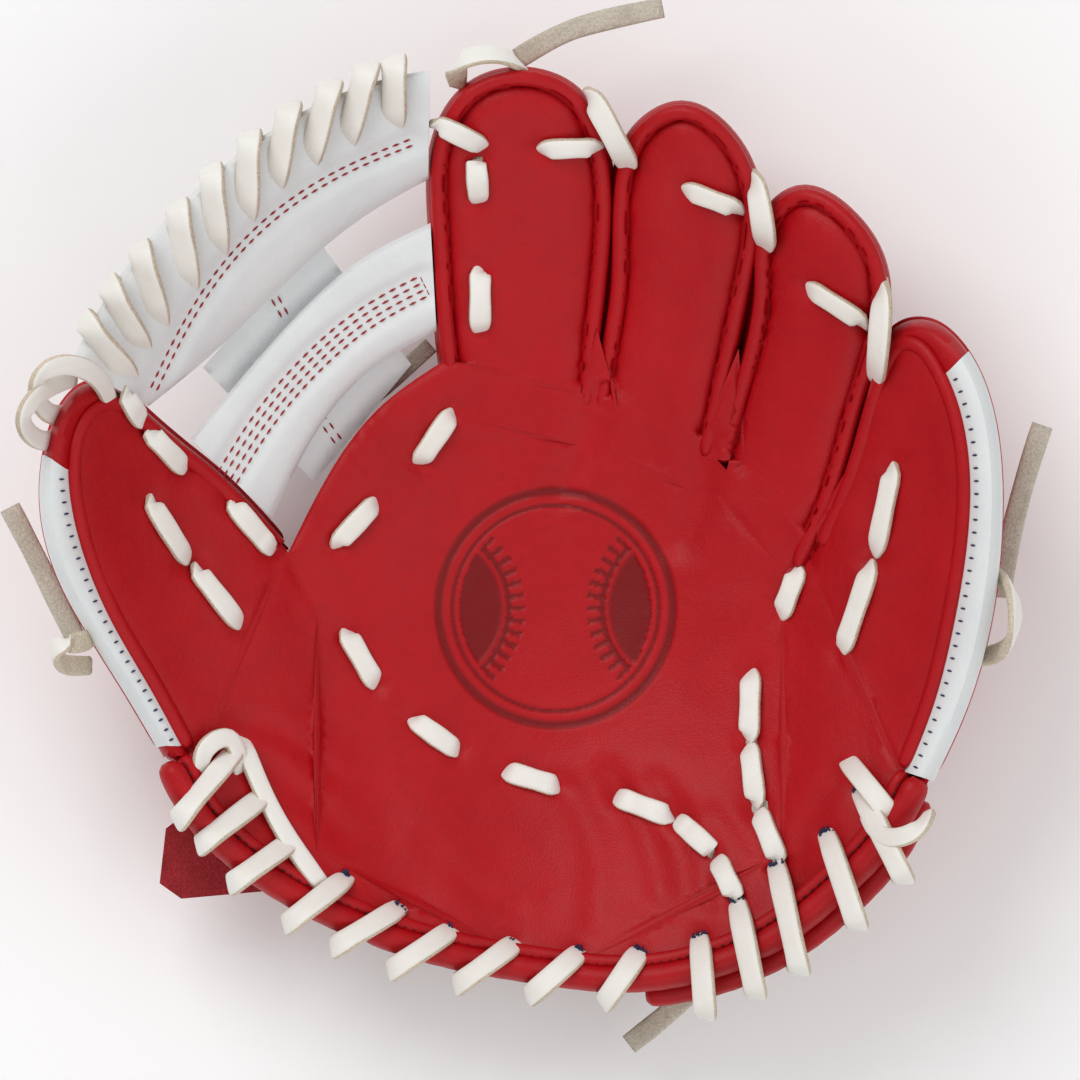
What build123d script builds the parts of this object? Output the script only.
"""A child-size baseball fielding glove for the left hand, open, lying on its back with its palm up.

Row frame: +Z up out of the pocket, +Y from the heel to the fingertips, the thumb on the -X side.
The origin is on the floor under the middle of the glove's box.

The palm's front face is a bowl of two radii: a circle across the palm, swept about an axle that is
parallel to X. Every piece is an outline, seen from above, cut to the part of that bowl between two
depths behind the front face. Outlines are in palm coordinates: X and Y from the pocket's middle.
"""

from build123d import *

import math
import os
from functools import lru_cache

# Driving dimensions, in millimetres.
POCKET = (4.6, -0.3)  # palm coordinates' origin in the row frame
DEEPEST_Y = -20.0  # where along Y the bowl is deepest, in palm coordinates
PALM_Z = 29.0  # height of the palm's front face at its deepest
ACROSS_R = 150.0  # bowl radius from thumb to pinky
ALONG_R = 270.0  # bowl radius from heel to fingertips
TALL = 140.0  # higher than anything on the glove

LEATHER = 2.4  # shell leather
GAP = 0.2  # between stacked pieces
PAD = 3.6  # felt between the palm leather and its liner
LINER = 1.2
BACK = 29.0  # depth of the shell's outer back face
KNUCKLE_BACK = 30.5  # the knuckle panel is thicker, and flat where the glove lies on it
FOLD_GAP = 0.4  # each side of a fold line
WELT = 3.0  # width of the corded seam round a finger

LACE_WIDE = 5.4
LACE_THICK = 2.1
LACE_LIFT = 0.15  # lace above the leather that it lies on

# The lines that the thumb side and the pinky side fold about, from the crotch to the heel.
THUMB_FOLD = ((-64.5, -2.5), (-57.0, -98.0))
PINKY_FOLD = ((68.5, -4.5), (69.5, -98.0))

# Each finger's outline as seen from the palm, from the left of its base round its tip.
FINGERS = {
    "index": [(-21.5, 30), (-24.5, 46), (-27, 80), (-25.5, 104), (-18, 115), (-4, 119), (9, 114),
              (15.8, 101), (17, 72), (14.6, 50), (12.5, 24)],
    "middle": [(13.5, 23.5), (15.2, 42), (18.6, 64), (19.6, 90), (24.5, 104), (36, 110.4), (48, 103.5),
               (54.5, 91), (52.5, 62), (47, 36), (41.5, 12)],
    "ring": [(43.2, 11.5), (49.3, 36), (55.2, 64), (57.2, 81), (66, 88.8), (78.5, 83), (87, 69),
             (86.8, 52), (82.2, 36), (76, 14), (65.5, -10)],
}
THUMB = [(-64.9, -2.5), (-74, 7.7), (-82, 15.8), (-91, 23.3), (-101, 32), (-109, 38), (-114.5, 38.8),
         (-119.8, 34.5), (-124, 24), (-125.2, 8), (-121.5, -8), (-114.5, -22), (-104.5, -38.5), (-95, -55)]
THUMB_SEAM = [(-64.9, -2.5), (-74, 7.7), (-82, 15.8), (-91, 23.3), (-100, 31), (-107, 35.5), (-113, 34),
              (-118, 26), (-118.8, 14), (-115, -4), (-108.5, -20), (-99, -37), (-89.5, -55)]
PINKY = [(68.9, -4.5), (75.5, 9), (80, 21.5), (83.4, 34), (87.6, 46), (92, 53.8), (98, 55), (106, 49.5),
         (112.5, 37), (115.6, 21), (116, 4), (113.5, -20), (107.5, -42), (98.5, -62)]
PINKY_SEAM = [(68.9, -4.5), (75.5, 9), (80, 21.5), (83.4, 34), (87.6, 46), (92, 51), (96, 50.5), (101, 45),
              (106, 33), (108.5, 18), (108, 0), (104.5, -22), (99.5, -42), (92.5, -60)]
WEB_EDGE = [(-64.1, -2.5), (-54, 17), (-41, 34), (-24.5, 46)]
CROTCHES = [(13, 37), (42.2, 24), (68.1, -4.5)]

# The rolled edge round the heel, from the thumb's corner to the pinky's.
HEEL_OUTER = [(-96, -61.5), (-90, -72), (-80, -82.5), (-66, -92.5), (-48, -101.5), (-25, -109), (0, -113.5),
              (22, -115.5), (42, -112.5), (61, -104.5), (78, -91), (91, -77), (98.5, -66)]
HEEL_INNER = [(-88, -57), (-82.5, -66.5), (-74, -75.5), (-61.5, -84.5), (-44.5, -93), (-22.5, -100.3),
              (1, -104.6), (21.5, -106.5), (39.5, -103.8), (56.5, -96.6), (72, -84.5), (84, -71.5), (90, -61.5)]
ROLL_OUTER = [(27, -119.5), (46, -116), (66, -107), (83, -93.5), (95, -79), (101, -67)]
ROLL_INNER = [(27, -111), (42, -108), (60, -100), (75, -88), (87, -74), (92, -65)]

# Web bars: outer and inner edge, from the thumb to the index finger.
TOP_BAR_OUTER = [(-118.5, 44.5), (-110, 61), (-94.5, 81.5), (-76.5, 98), (-56, 111), (-36, 118), (-28, 119.5)]
TOP_BAR_INNER = [(-99.5, 34), (-84.5, 46.5), (-69, 61.5), (-53.5, 76), (-41, 85), (-28.5, 92)]
LOW_BAR_OUTER = [(-89, 26), (-76.5, 41), (-61, 58.5), (-46, 71.5), (-28, 81)]
LOW_BAR_INNER = [(-68.5, 5.5), (-57, 28), (-43.5, 43.5), (-26.5, 53.5)]
POST = [(-86, 44), (-57, 77), (-33, 45), (-58, 15)]

# Stitches of lace, each from one hole to the next, by the lace they belong to.
PALM_LACE = [((-22.4, 32.6), (-31, 19.9)), ((-42, 9.7), (-52.3, -1.3)), ((-49.7, -23.5), (-42, -37)),
             ((-32.6, -45.9), (-21.2, -54)), ((-8.9, -59.2), (4.6, -63.2)), ((19.6, -65.8), (33.5, -70.9)),
             ((35.4, -71.8), (44.4, -79.8)), ((45.4, -81.8), (50, -91.3))]
PINKY_HEEL_LACE = [((66, -7.5), (61.7, -19.1)), ((54, -33.7), (53.5, -51)), ((53.6, -52.6), (55.3, -67.8)),
                   ((56, -69.5), (61.2, -82.4))]
INDEX_LACE = [((-26.5, 106), (-14.5, 100.2)), ((-16.4, 97), (-15.6, 86.6)), ((-15.3, 69.4), (-15.3, 53.6))]
THUMB_LACE = [((-99.5, 10.7), (-89.8, -5.1)), ((-88, -6.9), (-76.5, -21.7)), ((-79, 10), (-68.5, -2.5)),
              ((-105.5, 37.5), (-101, 30)), ((-99.8, 28), (-90.5, 18.2))]
PINKY_LACE = [((90, 19.1), (85.4, -3.8)), ((84.6, -5.7), (77, -28.6))]
TIP_LACES = {
    "index_tip_lace": [((0.3, 99.5), (14.8, 100)), ((12.8, 113.5), (22.4, 95.6))],
    "middle_tip_lace": [((37, 89.3), (51, 84)), ((54.8, 92.3), (57.5, 75))],
    "pinky_tip_lace": [((68.3, 64.3), (82.9, 54.8)), ((87.2, 65), (85.4, 40.8))],
}
# Turns of lace round the heel's rolled edge and round the wrist roll, from the hole in the palm out to
# the edge, by the body that they belong to.
HEEL_TURNS = {
    "_thumb": [((-77, -53), (-90.5, -69.4)), ((-70.5, -65.3), (-84.5, -76.2)), ((-63.5, -77), (-76.5, -86.2))],
    "": [((-46, -87.6), (-52, -100.5)), ((-36.5, -94.4), (-50.3, -102.6)), ((-23, -100), (-35.7, -108.4)),
         ((-6.9, -103.5), (-19, -112.2)), ((9.7, -105.8), (-0.6, -114.8)), ((25, -105.8), (17.9, -116))],
    "_pinky": [],
}
ROLL_TURNS = {
    "_thumb": [],
    "": [((40.8, -102), (42, -118.6)), ((50.5, -93), (54.6, -113.5)), ((60.5, -83.6), (65.6, -107.3))],
    "_pinky": [((73.2, -75.2), (80, -95.8)), ((81.6, -63.8), (91.5, -84.2))],
}
# Turns round the top bar's outer edge, from the edge in to the hole.
BAR_TURNS = [((-37, 119.3), (-37, 106.6)), ((-44.4, 117.8), (-48.7, 102.5)), ((-53.8, 113.2), (-58.1, 97.4)),
             ((-64, 107.6), (-67, 91.3)), ((-73.7, 100.2), (-74.5, 83.1)), ((-83.1, 91.5), (-81.6, 74.5)),
             ((-91.5, 82.4), (-89, 65.5)), ((-100.7, 71.7), (-96.6, 55.8)), ((-108, 62.5), (-101.2, 49.5)),
             ((-113.5, 53.6), (-104.7, 42.1))]

HEEL_FRONT, HEEL_BACK = -2.2, 5.6  # depths of the rolled heel edge
ROLL_BACK = 12.5  # depth of the wrist roll behind it
BAR_THICK = 7.0
POST_THICK = 2.6
SIDE_PANEL_DEEP = 17.0  # how far the white side panels reach down the thumb's and pinky's sides
THUMB_PANEL = [(-140, 22), (-112, 22), (-112, -3), (-100, -28), (-85, -55), (-100, -75), (-140, -40)]
PINKY_PANEL = [(140, 46), (98, 50), (103, 33), (105, 18), (104.5, 0), (101, -22), (96, -42), (88, -64), (140, -70)]

# The back of the hand and the wrist strap.
KNUCKLE_LOW_Y = -24.0
STRAP_TOP_Y, STRAP_LOW_Y = -50.0, -90.0
TAB_HINGE_X = -30.0
TAB_END_X = -101.0
TAB_TOP_Y, TAB_LOW_Y = -53.0, -88.0
TAB_RECESS_Y = -49.0  # below this the thumb's back lies deeper in, to leave room for the tab
TAB_RECESS = 4.0
PATCH_THICK = 0.8
TAB_THICK = 2.0

# Free ends of lace: points of the route, in the row frame.
TAILS = {
    "top_tail": [(-1, 122.6, 50), (8, 128.5, 48.5), (21, 132.8, 47.5), (36, 135.7, 47)],
    "thumb_tail": [(-113.5, -26, 57), (-121.5, -9, 57), (-130.5, 8, 58.5)],
    "pinky_tail": [(122.2, -15, 52), (124.2, 4, 52), (132.8, 29, 53)],
    "heel_tail": [(54, -106, 26), (42, -119, 22), (27.5, -130, 20)],
}

BASE = Plane((POCKET[0], POCKET[1], 0))


@lru_cache(maxsize=None)
def bowl(front, back):
    """The bowl's material between two depths behind the palm's front face."""
    axle = Plane((POCKET[0], POCKET[1] + DEEPEST_Y, PALM_Z + ALONG_R), z_dir=(0, -1, 0), x_dir=(1, 0, 0))
    with BuildPart() as layer:
        with BuildSketch(axle):
            with Locations((0, ALONG_R - ACROSS_R)):
                Circle(ACROSS_R + back)
                Circle(ACROSS_R + front, mode=Mode.SUBTRACT)
                Rectangle(4 * ACROSS_R, 2 * ACROSS_R, align=(Align.CENTER, Align.MIN), mode=Mode.INTERSECT)
        revolve(axis=Axis(axle.origin, (1, 0, 0)), revolution_arc=360)
    return layer.part


def closed(*runs):
    """A face inside runs of points joined end to end. A run of two points is straight, a longer one is a spline."""
    with BuildSketch() as face:
        with BuildLine():
            ends = [run[0] for run in runs[1:]] + [runs[0][0]]
            for run, end in zip(runs, ends):
                if len(run) > 2:
                    Spline(*run)
                else:
                    Line(*run)
                if run[-1] != end:
                    Line(run[-1], end)
        make_face()
    return face.sketch


def inset(points, amount):
    """A clockwise outline's points, each moved in by amount square to its neighbours' line, or out where negative."""
    moved = []
    for i, (x, y) in enumerate(points):
        (x0, y0), (x1, y1) = points[max(i - 1, 0)], points[min(i + 1, len(points) - 1)]
        run = Vector(x1 - x0, y1 - y0).normalized()
        moved.append((x + run.Y * amount, y - run.X * amount))
    return moved


def joined(*faces):
    with BuildSketch() as whole:
        for face in faces:
            add(face)
    return whole.sketch


def without(face, *holes):
    with BuildSketch() as rest:
        add(face)
        for hole in holes:
            add(hole, mode=Mode.SUBTRACT)
    return rest.sketch


def within(face, limit):
    with BuildSketch() as common:
        add(face)
        add(limit, mode=Mode.INTERSECT)
    return common.sketch


def slab(face, front, back):
    """The face's column, cut to the bowl between two depths and to what lies above the floor."""
    with BuildPart() as piece:
        with BuildSketch(BASE):
            add(face)
        extrude(amount=TALL)
        add(bowl(front, back), mode=Mode.INTERSECT)
    return piece.part


def beside(fold, side):
    """Everything on one side of a fold line, -1 towards the thumb and 1 towards the pinky, clear of the line."""
    (top_x, top_y), (low_x, low_y) = fold
    lean = (top_x - low_x) / (top_y - low_y)
    high, low = 200.0, -200.0
    near_high = top_x + lean * (high - top_y) + side * FOLD_GAP
    near_low = top_x + lean * (low - top_y) + side * FOLD_GAP
    far = side * 300.0
    with BuildSketch() as region:
        with BuildLine():
            Polyline((near_high, high), (near_low, low), (far, low), (far, high), close=True)
        make_face()
    return region.sketch


def stitch(start, end, wide=LACE_WIDE):
    """The outline of a stretch of lace between two holes, with rounded ends."""
    (x0, y0), (x1, y1) = start, end
    run = Vector(x1 - x0, y1 - y0)
    lean = Vector(1, 0).get_signed_angle(run, Vector(0, 0, 1))
    with BuildSketch() as face:
        with Locations(Location(((x0 + x1) / 2, (y0 + y1) / 2, 0), (0, 0, lean))):
            RectangleRounded(run.length, wide, 0.3 * min(run.length, wide))
    return face.sketch


def box_at(x, y, long, wide):
    with BuildSketch() as face:
        with Locations((x, y)):
            Rectangle(long, wide)
    return face.sketch


def mouth(points):
    """The opening through a finger's base, between its side walls, from a finger outline's two ends."""
    left, right = Vector(*points[0]), Vector(*points[-1])
    along = (right - left).normalized()
    out = along.rotate(Axis.Z, -90) * 3 * LEATHER
    low, high = left + along * 1.5 * LEATHER, right - along * 1.5 * LEATHER
    with BuildSketch() as face:
        with BuildLine():
            Polyline(low + out, high + out, high - out, low - out, close=True)
        make_face()
    return face.sketch


def write(piece, name):
    piece.label = name
    export_step(piece, f"parts/{name}.step")


os.makedirs("parts", exist_ok=True)

thumb_side = beside(THUMB_FOLD, -1)
centre = within(beside(THUMB_FOLD, 1), beside(PINKY_FOLD, -1))
pinky_side = beside(PINKY_FOLD, 1)

# Palm leather, with its three finger fronts.
finger_faces = {name: closed(points) for name, points in FINGERS.items()}
palm_base = closed(WEB_EDGE, [WEB_EDGE[-1], CROTCHES[0]], CROTCHES[:2], CROTCHES[1:], PINKY_FOLD,
                   [PINKY_FOLD[1], (PINKY_FOLD[1][0], -120)], [(PINKY_FOLD[1][0], -120), (THUMB_FOLD[1][0], -120)],
                   [(THUMB_FOLD[1][0], -120), THUMB_FOLD[1]], THUMB_FOLD[::-1])
heel_band = closed(HEEL_OUTER, [HEEL_OUTER[-1], HEEL_INNER[-1]], HEEL_INNER[::-1])
palm_low_edge = [(x, y + 2 * GAP) for x, y in HEEL_INNER]
heel_beyond = closed(palm_low_edge, [palm_low_edge[-1], (105, -58)], [(105, -58), (105, -200)],
                     [(105, -200), (-102, -200)], [(-102, -200), (-102, -62)])
finger_fronts = {name: closed(inset(points, WELT)) for name, points in FINGERS.items()}
palm_face = without(joined(within(palm_base, centre), *finger_fronts.values()), heel_beyond)

with BuildPart() as palm_panel:
    add(slab(palm_face, 0, LEATHER))
write(palm_panel.part, "palm_panel")

# Fingers: a hollow back, open to the palm and at its base, and the corded seam round its front edge.
for name, points in FINGERS.items():
    face = finger_faces[name]
    with BuildPart() as finger_back:
        add(slab(face, LEATHER + GAP, BACK))
        hollow = joined(closed(inset(points, LEATHER)), mouth(points))
        add(slab(hollow, 0, BACK - LEATHER), mode=Mode.SUBTRACT)
    write(finger_back.part, f"{name}_back")
    with BuildPart() as welt:
        seam = without(face, closed(inset(points, WELT - GAP)), palm_base)
        add(slab(seam, 0.3, LEATHER))
    write(welt.part, f"{name}_welt")


def side_finger(name, outline, seam, fold, side, panel, turn):
    """The thumb or the pinky: front leather, hollow back, white side panel and corded seam.

    Its outline runs clockwise where turn is 1 and counter-clockwise where turn is -1.
    """
    face = without(within(closed(outline, [outline[-1], fold[1]], fold[::-1]), side), heel_beyond)
    front_face = without(within(closed(seam, [seam[-1], fold[1]], fold[::-1]), side), heel_beyond)
    inner = inset(outline, turn * LEATHER)
    out_x = fold[1][0] * 0.6
    hollow = closed(inner, [inner[-1], (outline[-1][0], -140)], [(outline[-1][0], -140), (out_x, -140)],
                    [(out_x, -140), (out_x, fold[0][1] - 8)])
    with BuildPart() as front:
        add(slab(front_face, 0, LEATHER))
    write(front.part, f"{name}_front")
    recess = TAB_RECESS if name == "thumb" else 0
    low = box_at(0, TAB_RECESS_Y - 100, 400, 200)
    low_inside = box_at(0, TAB_RECESS_Y + LEATHER - 100, 400, 200)
    with BuildPart() as shell:
        add(slab(without(face, low), LEATHER + GAP, BACK))
        add(slab(within(face, low), LEATHER + GAP, BACK - recess))
        add(slab(without(hollow, low_inside), 0, BACK - LEATHER), mode=Mode.SUBTRACT)
        add(slab(within(hollow, low_inside), 0, BACK - recess - LEATHER), mode=Mode.SUBTRACT)
    with BuildSketch() as panel_area:
        with BuildLine():
            Polyline(*panel, close=True)
        make_face()
    with BuildPart() as side_panel:
        add(shell.part)
        add(slab(panel_area.sketch, -1, SIDE_PANEL_DEEP), mode=Mode.INTERSECT)
    write(side_panel.part, f"{name}_side_panel")
    with BuildPart() as back:
        add(shell.part)
        add(slab(panel_area.sketch, -1, SIDE_PANEL_DEEP + GAP / 2), mode=Mode.SUBTRACT)
    write(back.part, f"{name}_back")
    with BuildPart() as cord_seam:
        grown = within(without(face, front_face), closed(inset(seam, -turn * WELT), [seam[-1], fold[1]], fold[::-1]))
        add(slab(grown, 0.3, LEATHER).solids().sort_by(SortBy.VOLUME)[-1])
    write(cord_seam.part, f"{name}_welt")


side_finger("thumb", THUMB, THUMB_SEAM, THUMB_FOLD, thumb_side, THUMB_PANEL, -1)
side_finger("pinky", PINKY, PINKY_SEAM, PINKY_FOLD, pinky_side, PINKY_PANEL, 1)


def area(*points):
    """A face with straight sides."""
    with BuildSketch() as face:
        with BuildLine():
            Polyline(*points, close=True)
        make_face()
    return face.sketch


def ellipse_at(centre_at, half_x, half_y, lean=0):
    with BuildSketch() as face:
        with Locations(Location((centre_at[0], centre_at[1], 0), (0, 0, lean))):
            Ellipse(half_x, half_y)
    return face.sketch


# Padding and linings between the palm leather and the hand.
pad_face = area((-52, -4), (-50, 10), (-38, 25), (-18, 28), (10, 20), (38, 6), (58, -18), (60, -78), (38, -96),
                (0, -98), (-38, -88), (-52, -78))
with BuildPart() as palm_pad:
    add(slab(pad_face, LEATHER + GAP, LEATHER + GAP + PAD))
write(palm_pad.part, "palm_pad")
liner_front = LEATHER + PAD + 2 * GAP
with BuildPart() as palm_liner:
    add(slab(pad_face, liner_front, liner_front + LINER))
write(palm_liner.part, "palm_liner")
HEEL_PADS = {"thumb": ((-79, -42), 13, 22, 32), "pinky": ((84, -36), 11, 24, -8)}
STAYS = {"thumb": ((-101, 2), 8, 26, 14), "pinky": ((97, 12), 7, 28, -6)}
LOOPS = {"thumb": (-94, -4), "pinky": (91, -8)}
LOOP_LONG, LOOP_WIDE, LOOP_TALL, LOOP_THICK = 30.0, 18.0, 11.0, 1.4
for side_name in ("thumb", "pinky"):
    with BuildPart() as heel_pad:
        add(slab(ellipse_at(*HEEL_PADS[side_name]), LEATHER + GAP, LEATHER + GAP + 2 * PAD))
    write(heel_pad.part, f"{side_name}_heel_pad")
    with BuildPart() as stay:
        add(slab(ellipse_at(*STAYS[side_name]), LEATHER + GAP, LEATHER + GAP + PAD / 2))
    write(stay.part, f"{side_name}_stay")
    loop_x, loop_y = LOOPS[side_name]
    loop_back = BACK - LEATHER - GAP
    with BuildPart() as loop:
        add(slab(box_at(loop_x, loop_y, LOOP_LONG, LOOP_WIDE), loop_back - LOOP_TALL - LOOP_THICK, loop_back))
        inside = box_at(loop_x, loop_y, LOOP_LONG - 8, 4 * LOOP_WIDE)
        add(slab(inside, loop_back - LOOP_TALL, BACK), mode=Mode.SUBTRACT)
    write(loop.part, f"{side_name}_loop")

# The heel's rolled edge, in three stretches, and the wrist roll behind it, in two.
bodies = {"": centre, "_thumb": thumb_side, "_pinky": pinky_side}
roll_face = closed(ROLL_OUTER, [ROLL_OUTER[-1], ROLL_INNER[-1]], ROLL_INNER[::-1])
for suffix, region in bodies.items():
    with BuildPart() as heel_roll:
        add(slab(within(heel_band, region), HEEL_FRONT, HEEL_BACK))
    write(heel_roll.part, f"heel_roll{suffix}")
for suffix in ("", "_pinky"):
    with BuildPart() as wrist_roll:
        add(slab(within(roll_face, bodies[suffix]), HEEL_BACK + GAP, ROLL_BACK))
    write(wrist_roll.part, f"wrist_roll{suffix}")


def lace(name, stitches, front=-LACE_LIFT - LACE_THICK, back=-LACE_LIFT, region=None):
    """One lace's visible stitches: flat strips that lie on the leather."""
    with BuildPart() as strips:
        for start, end in stitches:
            outline = stitch(start, end)
            add(slab(within(outline, region) if region else outline, front, back))
    write(strips.part, name)


lace("palm_lace", PALM_LACE)
lace("pinky_heel_lace", PINKY_HEEL_LACE, region=centre)
lace("index_lace", INDEX_LACE)
lace("thumb_lace", THUMB_LACE, region=thumb_side)
lace("pinky_lace", PINKY_LACE, region=pinky_side)
for name, (flat, over) in TIP_LACES.items():
    with BuildPart() as tip_lace:
        add(slab(stitch(*flat), -LACE_LIFT - LACE_THICK, -LACE_LIFT))
        add(slab(stitch(*over), -2 * LACE_LIFT - 2 * LACE_THICK, -LACE_LIFT - LACE_THICK))
    write(tip_lace.part, name)


def reaching(start, end, beyond):
    """The stretch from start to end, run on past its end."""
    run = Vector(end[0] - start[0], end[1] - start[1]).normalized() * beyond
    return start, (end[0] + run.X, end[1] + run.Y)


# Lace round the heel: each turn passes over the roll, round its outer side and back under it.
palm_zone = without(area((-140, -140), (140, -140), (140, 140), (-140, 140)), heel_beyond)
roll_zone = closed(inset(HEEL_OUTER, LACE_LIFT)[::-1], [HEEL_OUTER[0], palm_low_edge[0]], palm_low_edge,
                   [palm_low_edge[-1], HEEL_OUTER[-1]])
wrist_zone = closed(inset(ROLL_OUTER, LACE_LIFT), [ROLL_OUTER[-1], (92, -60)], [(92, -60), (24, -100)])


def heel_turn(start, end, region, zone, back):
    """One turn of lace round the heel, cut clear of the roll inside it."""
    outline = within(stitch(*reaching(start, end, LACE_THICK + 1)), region)
    with BuildPart() as turn:
        add(slab(outline, HEEL_FRONT - LACE_LIFT - LACE_THICK, back + LACE_LIFT + LACE_THICK))
        add(slab(zone, HEEL_FRONT - LACE_LIFT, back + LACE_LIFT), mode=Mode.SUBTRACT)
        add(slab(palm_zone, -LACE_LIFT, BACK), mode=Mode.SUBTRACT)
    return turn.part.solids().sort_by(SortBy.VOLUME)[-1]


for suffix, region in bodies.items():
    with BuildPart() as heel_lace:
        for start, end in HEEL_TURNS[suffix]:
            add(heel_turn(start, end, region, roll_zone, HEEL_BACK))
        for start, end in ROLL_TURNS[suffix]:
            add(heel_turn(start, end, region, joined(roll_zone, wrist_zone), ROLL_BACK))
    write(heel_lace.part, f"heel_lace{suffix}")

# Web: two bars from the thumb to the index finger, a post behind them, and the lace round the top bar.
top_bar_face = closed(TOP_BAR_OUTER, [TOP_BAR_OUTER[-1], TOP_BAR_INNER[-1]], TOP_BAR_INNER[::-1])
low_bar_face = closed(LOW_BAR_OUTER, [LOW_BAR_OUTER[-1], LOW_BAR_INNER[-1]], LOW_BAR_INNER[::-1])
with BuildPart() as web_top_bar:
    add(slab(top_bar_face, 0, BAR_THICK))
write(web_top_bar.part, "web_top_bar")
with BuildPart() as web_low_bar:
    add(slab(low_bar_face, 1, BAR_THICK))
write(web_low_bar.part, "web_low_bar")
with BuildPart() as web_post:
    add(slab(area(*POST), BAR_THICK + GAP, BAR_THICK + GAP + POST_THICK))
write(web_post.part, "web_post")
bar_zone = closed(inset(TOP_BAR_OUTER, -LACE_LIFT), [TOP_BAR_OUTER[-1], (-30, 85)], [(-30, 85), (-95, 30)])


def bar_turn(start, end):
    """One turn of lace round the top bar's outer edge."""
    with BuildPart() as turn:
        add(slab(stitch(*reaching(end, start, LACE_THICK + 1)), -LACE_LIFT - LACE_THICK,
                 BAR_THICK + LACE_LIFT + LACE_THICK))
        add(slab(bar_zone, -LACE_LIFT, BAR_THICK + LACE_LIFT), mode=Mode.SUBTRACT)
    return turn.part.solids().sort_by(SortBy.VOLUME)[-1]


with BuildPart() as web_lace:
    for start, end in BAR_TURNS:
        add(bar_turn(start, end))
write(web_lace.part, "web_lace")
with BuildPart() as web_base_lace:
    add(slab(stitch((-44, 36), (-28.5, 49), 4.5), BAR_THICK + POST_THICK + 1, BAR_THICK + POST_THICK + 3))
write(web_base_lace.part, "web_base_lace")

# Back of the hand, and the wrist strap with its hook-and-loop tab.
FACE_CLEAR = 0.5
knuckle_face = within(area((FINGERS["index"][0][0], FINGERS["index"][0][1] - FACE_CLEAR),
                           (FINGERS["index"][-1][0], FINGERS["index"][-1][1] - FACE_CLEAR),
                           (FINGERS["middle"][0][0], FINGERS["middle"][0][1] - FACE_CLEAR),
                           (FINGERS["middle"][-1][0], FINGERS["middle"][-1][1] - FACE_CLEAR),
                           (FINGERS["ring"][0][0], FINGERS["ring"][0][1] - FACE_CLEAR),
                           (FINGERS["ring"][-1][0], FINGERS["ring"][-1][1] - FACE_CLEAR),
                           (66, KNUCKLE_LOW_Y), (-60, KNUCKLE_LOW_Y), (-62, 0)), centre)
with BuildPart() as knuckle_panel:
    add(slab(knuckle_face, BACK - LEATHER, KNUCKLE_BACK))
write(knuckle_panel.part, "knuckle_panel")
strap_face = within(area((-120, STRAP_TOP_Y), (120, STRAP_TOP_Y), (120, STRAP_LOW_Y), (-120, STRAP_LOW_Y)), centre)
with BuildPart() as wrist_strap:
    add(slab(strap_face, BACK - LEATHER, BACK))
write(wrist_strap.part, "wrist_strap")
patch_low = area((TAB_HINGE_X, TAB_TOP_Y - 4), (TAB_HINGE_X, TAB_LOW_Y + 4), (-54, TAB_LOW_Y + 4), (-54, TAB_TOP_Y - 4))
with BuildPart() as loop_patch:
    add(slab(patch_low, BACK + GAP / 2, BACK + GAP / 2 + PATCH_THICK))
write(loop_patch.part, "loop_patch")
hook_front = BACK + GAP / 2 + PATCH_THICK + GAP
hook_face = area((TAB_HINGE_X - 3, TAB_TOP_Y - 4), (TAB_HINGE_X - 3, TAB_LOW_Y + 4), (-74, TAB_LOW_Y + 4),
                 (-74, TAB_TOP_Y - 4))
with BuildPart() as hook_patch:
    add(slab(hook_face, hook_front, hook_front + PATCH_THICK))
write(hook_patch.part, "hook_patch")
with BuildSketch() as tab_face:
    with BuildLine():
        Polyline((TAB_HINGE_X, TAB_TOP_Y), (TAB_END_X + 6, TAB_TOP_Y), (TAB_END_X, TAB_TOP_Y - 8),
                 (TAB_END_X + 4, TAB_LOW_Y + 6), (TAB_END_X + 10, TAB_LOW_Y), (TAB_HINGE_X, TAB_LOW_Y), close=True)
    make_face()
tab_front = hook_front + PATCH_THICK + GAP / 2
with BuildPart() as strap_tab:
    add(slab(tab_face.sketch, tab_front, tab_front + TAB_THICK))
write(strap_tab.part, "strap_tab")

# Free ends of lace: a flat strip swept along straight runs joined by arcs.
for name, points in TAILS.items():
    route = [Vector(*point) for point in points]
    radii = []
    for before, at, after in zip(route, route[1:], route[2:]):
        half_turn = math.radians((at - before).get_angle(after - at) / 2)
        radii.append(0.45 * min((at - before).length, (after - at).length) / math.tan(half_turn))
    with BuildPart() as tail:
        with BuildLine() as path:
            FilletPolyline(*route, radius=radii)
        with BuildSketch(Plane(path.line @ 0, z_dir=path.line % 0, x_dir=(0, 0, 1))):
            Rectangle(LACE_THICK, LACE_WIDE)
        sweep()
    long = path.wire().length
    share = tail.part.volume / (LACE_THICK * LACE_WIDE * long)
    print(name, "length", round(long, 1), "radii", [round(r) for r in radii], "share", round(share, 3))
    write(tail.part, name)
